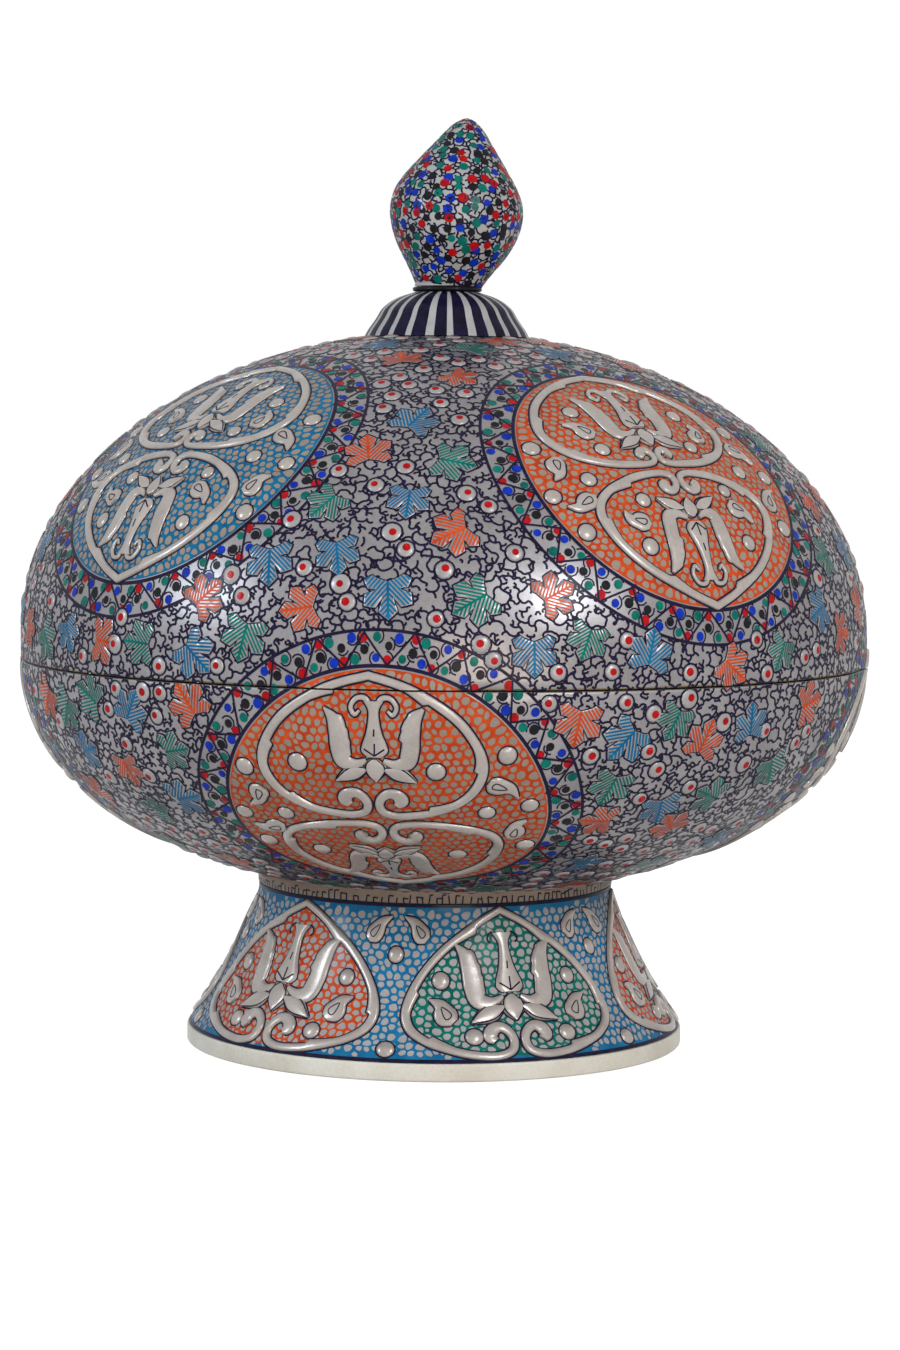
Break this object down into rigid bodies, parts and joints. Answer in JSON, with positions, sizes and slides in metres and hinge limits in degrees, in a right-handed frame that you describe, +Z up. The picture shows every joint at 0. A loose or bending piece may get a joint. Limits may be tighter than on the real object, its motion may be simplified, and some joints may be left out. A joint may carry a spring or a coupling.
{
  "type": "lidded bowl",
  "caption": "Round footed bowl of lacquered paper pulp with a domed lift-off lid, a bud finial and raised ornament.",
  "frame": {"origin": "on the table under the middle of the bowl's widest level", "axes": "+Z up along the bowl's axis, -Y towards the viewer, +X to the viewer's right, the way the bud leans"},
  "size_m": [0.3042, 0.3039, 0.3303],
  "materials": {
    "body_ground": "gloss lacquer over a cream ground with fine dark blue line work",
    "foot_ground": "gloss lacquer over a cream ground with fine blue scale work",
    "cream_edge": "gloss lacquer on a plain cream hoop",
    "gesso": "raised plaster line, lacquered",
    "ink": "dark blue paint under gloss lacquer",
    "orange_paint": "fine orange brush line under lacquer",
    "teal_paint": "fine blue-green brush line under lacquer",
    "sky_paint": "fine sky blue brush line under lacquer",
    "red_paint": "red dots under lacquer",
    "blue_paint": "deep blue dots under lacquer",
    "dark_lining": "black lacquered inside",
    "raw_paper": "unpainted paper pulp",
    "peg_wood": "bare turned wood"
  },
  "bodies": {
    "bowl": {"foot_hoop": "cream_edge", "foot_shell": "foot_ground", "foot_top_disc": "raw_paper", "neck_ring": "body_ground", "bowl_shell": "body_ground", "bowl_rim_band": "body_ground", "bowl_collar": "dark_lining", "foot_cartouche_1": "gesso", "foot_cartouche_2": "gesso", "foot_cartouche_3": "gesso", "foot_cartouche_4": "gesso", "foot_cartouche_5": "gesso", "foot_cartouche_6": "gesso", "bowl_medallion_1_upper_frame": "gesso", "bowl_medallion_1_lower_frame": "gesso", "bowl_medallion_2_upper_frame": "gesso", "bowl_medallion_2_lower_frame": "gesso", "bowl_medallion_3_upper_frame": "gesso", "bowl_medallion_3_lower_frame": "gesso", "bowl_medallion_4_upper_frame": "gesso", "bowl_medallion_4_lower_frame": "gesso"},
    "lid": {"lid_shell": "body_ground", "lid_rim_band": "body_ground", "finial_cap": "ink", "finial_bead": "ink", "finial_bud": "gesso", "finial_peg": "peg_wood", "peg_washer": "raw_paper", "lid_medallion_1_upper_frame": "gesso", "lid_medallion_1_lower_frame": "gesso", "lid_medallion_2_upper_frame": "gesso", "lid_medallion_2_lower_frame": "gesso", "lid_medallion_3_upper_frame": "gesso", "lid_medallion_3_lower_frame": "gesso", "lid_medallion_4_upper_frame": "gesso", "lid_medallion_4_lower_frame": "gesso", "bowl_medallion_1_tip_on_lid": "gesso", "bowl_medallion_2_tip_on_lid": "gesso", "bowl_medallion_3_tip_on_lid": "gesso", "bowl_medallion_4_tip_on_lid": "gesso"}
  },
  "joints": [
    {"name": "lid_lift", "type": "slide", "parent": "bowl", "child": "lid", "axis": [0, 0, 1], "range_m": [0, 0.2]}
  ]
}
